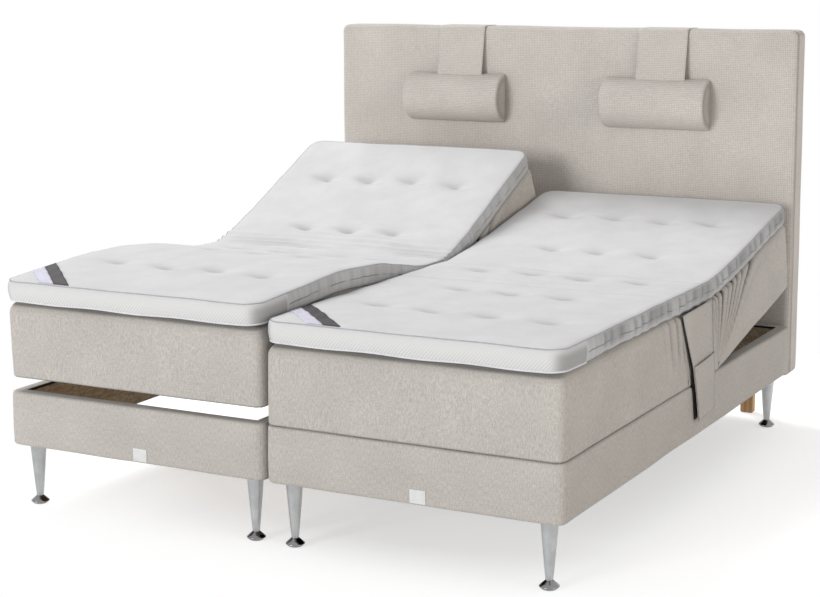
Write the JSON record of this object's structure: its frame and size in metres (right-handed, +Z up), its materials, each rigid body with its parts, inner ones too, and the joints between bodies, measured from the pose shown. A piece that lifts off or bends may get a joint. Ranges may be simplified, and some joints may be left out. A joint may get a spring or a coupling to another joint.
{
  "type": "adjustable bed",
  "caption": "Upholstered adjustable double bed with motor-raised back and leg sections, toppers, a shared headboard and neck cushions on weighted straps.",
  "frame": {"origin": "middle of the footprint, on the floor", "axes": "+X across the bed to the right seen from the foot end, +Y towards the headboard, +Z up"},
  "size_m": [1.8506, 2.1466, 1.3828],
  "materials": {
    "board": "matt brown board",
    "timber": "sanded timber",
    "panel_board": "matt plywood board",
    "leg_metal": "satin",
    "bright_metal": "polished",
    "bright_metal_plate": "brushed",
    "dark_steel": "satin black paint",
    "dark_plastic": "fine grain",
    "pin_steel": "zinc plated",
    "headboard_fabric": "coarse grid weave",
    "base_fabric": "fine vertical weave",
    "strap_fabric": "coarse grid weave",
    "topper_fabric": "tufted knitted cloth with mesh border",
    "weight_iron": "black coated"
  },
  "bodies": {
    "base": {"frame_rails": "board", "corner_blocks": "timber", "legs": "leg_metal", "leg_glides": "bright_metal", "cross_beams": "dark_steel", "drive_housings": "dark_plastic", "hinge_pins": "pin_steel", "headboard_core": "board", "headboard_cover": "headboard_fabric", "headboard_battens": "timber", "headboard_bolts": "pin_steel", "cushion_straps": "strap_fabric", "trim_plates": "bright_metal_plate", "left_frame_cover": "base_fabric", "left_seat_panel": "panel_board", "left_seat_box": "base_fabric", "left_seat_folds": "base_fabric", "left_topper_waist": "topper_fabric", "left_handset_pocket": "strap_fabric", "right_frame_cover": "base_fabric", "right_seat_panel": "panel_board", "right_seat_box": "base_fabric", "right_seat_folds": "base_fabric", "right_topper_waist": "topper_fabric", "right_handset_pocket": "strap_fabric"},
    "left_head": {"left_head_panel": "panel_board", "left_head_box": "base_fabric", "left_head_topper": "topper_fabric"},
    "left_thigh": {"left_thigh_panel": "panel_board", "left_thigh_box": "base_fabric", "left_thigh_topper": "topper_fabric", "left_knee_pins": "pin_steel", "left_knee_fold": "base_fabric"},
    "left_calf": {"left_calf_panel": "panel_board", "left_calf_box": "base_fabric", "left_calf_topper": "topper_fabric"},
    "left_head_lift_arm": {"left_head_lift": "dark_steel", "left_head_rollers": "dark_plastic"},
    "left_thigh_lift_arm": {"left_thigh_lift": "dark_steel", "left_thigh_rollers": "dark_plastic"},
    "left_calf_stay": {"left_calf_stays": "dark_steel"},
    "left_cushion": {"left_neck_cushion": "headboard_fabric"},
    "left_weight": {"left_counterweight": "weight_iron"},
    "right_head": {"right_head_panel": "panel_board", "right_head_box": "base_fabric", "right_head_topper": "topper_fabric"},
    "right_thigh": {"right_thigh_panel": "panel_board", "right_thigh_box": "base_fabric", "right_thigh_topper": "topper_fabric", "right_knee_pins": "pin_steel"},
    "right_calf": {"right_calf_panel": "panel_board", "right_calf_box": "base_fabric", "right_calf_topper": "topper_fabric"},
    "right_head_lift_arm": {"right_head_lift": "dark_steel", "right_head_rollers": "dark_plastic"},
    "right_thigh_lift_arm": {"right_thigh_lift": "dark_steel", "right_thigh_rollers": "dark_plastic"},
    "right_calf_stay": {"right_calf_stays": "dark_steel"},
    "right_cushion": {"right_neck_cushion": "headboard_fabric"},
    "right_weight": {"right_counterweight": "weight_iron"}
  },
  "joints": [
    {"name": "left_head_tilt", "type": "hinge", "parent": "base", "child": "left_head", "pos_m": [-0.455, 0.17297, 0.3635], "axis": [1, 0, 0], "range_deg": [-25, 35], "deforming": ["left_seat_folds", "left_topper_waist"]},
    {"name": "left_thigh_tilt", "type": "hinge", "parent": "base", "child": "left_thigh", "pos_m": [-0.455, -0.10703, 0.3635], "axis": [-1, 0, 0], "range_deg": [-10.5, 19.5]},
    {"name": "left_knee_bend", "type": "hinge", "parent": "left_thigh", "child": "left_calf", "pos_m": [-0.455, -0.49542, 0.43548], "axis": [-1, 0, 0], "range_deg": [-25.35, 13.65], "deforming": ["left_knee_fold"]},
    {"name": "left_head_lift_turn", "type": "hinge", "parent": "base", "child": "left_head_lift_arm", "pos_m": [-0.455, 0.11797, 0.3275], "axis": [1, 0, 0], "range_deg": [-21.07, 29.5]},
    {"name": "left_thigh_lift_turn", "type": "hinge", "parent": "base", "child": "left_thigh_lift_arm", "pos_m": [-0.455, -0.05203, 0.3275], "axis": [-1, 0, 0], "range_deg": [-7.68, 14.26]},
    {"name": "left_calf_stay_turn", "type": "hinge", "parent": "base", "child": "left_calf_stay", "pos_m": [-0.455, -0.26053, 0.324], "axis": [-1, 0, 0], "range_deg": [-11.4, 21.16]},
    {"name": "left_cushion_slide", "type": "slide", "parent": "base", "child": "left_cushion", "axis": [0, 0, 1], "range_m": [-0.13, 0.12], "deforming": ["cushion_straps"]},
    {"name": "left_weight_slide", "type": "slide", "parent": "base", "child": "left_weight", "axis": [0, 0, 1], "range_m": [-0.12, 0.13]},
    {"name": "right_head_tilt", "type": "hinge", "parent": "base", "child": "right_head", "pos_m": [0.455, 0.17297, 0.3635], "axis": [1, 0, 0], "range_deg": [-11, 49], "deforming": ["right_seat_folds", "right_topper_waist"]},
    {"name": "right_thigh_tilt", "type": "hinge", "parent": "base", "child": "right_thigh", "pos_m": [0.455, -0.10703, 0.3635], "axis": [-1, 0, 0], "range_deg": [0, 30]},
    {"name": "right_knee_bend", "type": "hinge", "parent": "right_thigh", "child": "right_calf", "pos_m": [0.455, -0.50203, 0.3635], "axis": [-1, 0, 0], "range_deg": [-39, 0]},
    {"name": "right_head_lift_turn", "type": "hinge", "parent": "base", "child": "right_head_lift_arm", "pos_m": [0.455, 0.11797, 0.3275], "axis": [1, 0, 0], "range_deg": [-9.27, 41.3]},
    {"name": "right_thigh_lift_turn", "type": "hinge", "parent": "base", "child": "right_thigh_lift_arm", "pos_m": [0.455, -0.05203, 0.3275], "axis": [-1, 0, 0], "range_deg": [0, 21.94]},
    {"name": "right_calf_stay_turn", "type": "hinge", "parent": "base", "child": "right_calf_stay", "pos_m": [0.455, -0.26053, 0.324], "axis": [-1, 0, 0], "range_deg": [0, 32.56]},
    {"name": "right_cushion_slide", "type": "slide", "parent": "base", "child": "right_cushion", "axis": [0, 0, 1], "range_m": [-0.13, 0.12]},
    {"name": "right_weight_slide", "type": "slide", "parent": "base", "child": "right_weight", "axis": [0, 0, 1], "range_m": [-0.12, 0.13]}
  ],
  "couplings": [
    {"joint": "left_knee_bend", "follows": "left_thigh_tilt", "ratio": -1.3},
    {"joint": "left_head_lift_turn", "follows": "left_head_tilt", "ratio": 0.84287},
    {"joint": "left_thigh_lift_turn", "follows": "left_thigh_tilt", "ratio": 0.73126},
    {"joint": "left_calf_stay_turn", "follows": "left_thigh_tilt", "ratio": 1.0852},
    {"joint": "left_weight_slide", "follows": "left_cushion_slide", "ratio": -1},
    {"joint": "right_knee_bend", "follows": "right_thigh_tilt", "ratio": -1.3},
    {"joint": "right_head_lift_turn", "follows": "right_head_tilt", "ratio": 0.84287},
    {"joint": "right_thigh_lift_turn", "follows": "right_thigh_tilt", "ratio": 0.73126},
    {"joint": "right_calf_stay_turn", "follows": "right_thigh_tilt", "ratio": 1.0852},
    {"joint": "right_weight_slide", "follows": "right_cushion_slide", "ratio": -1}
  ]
}
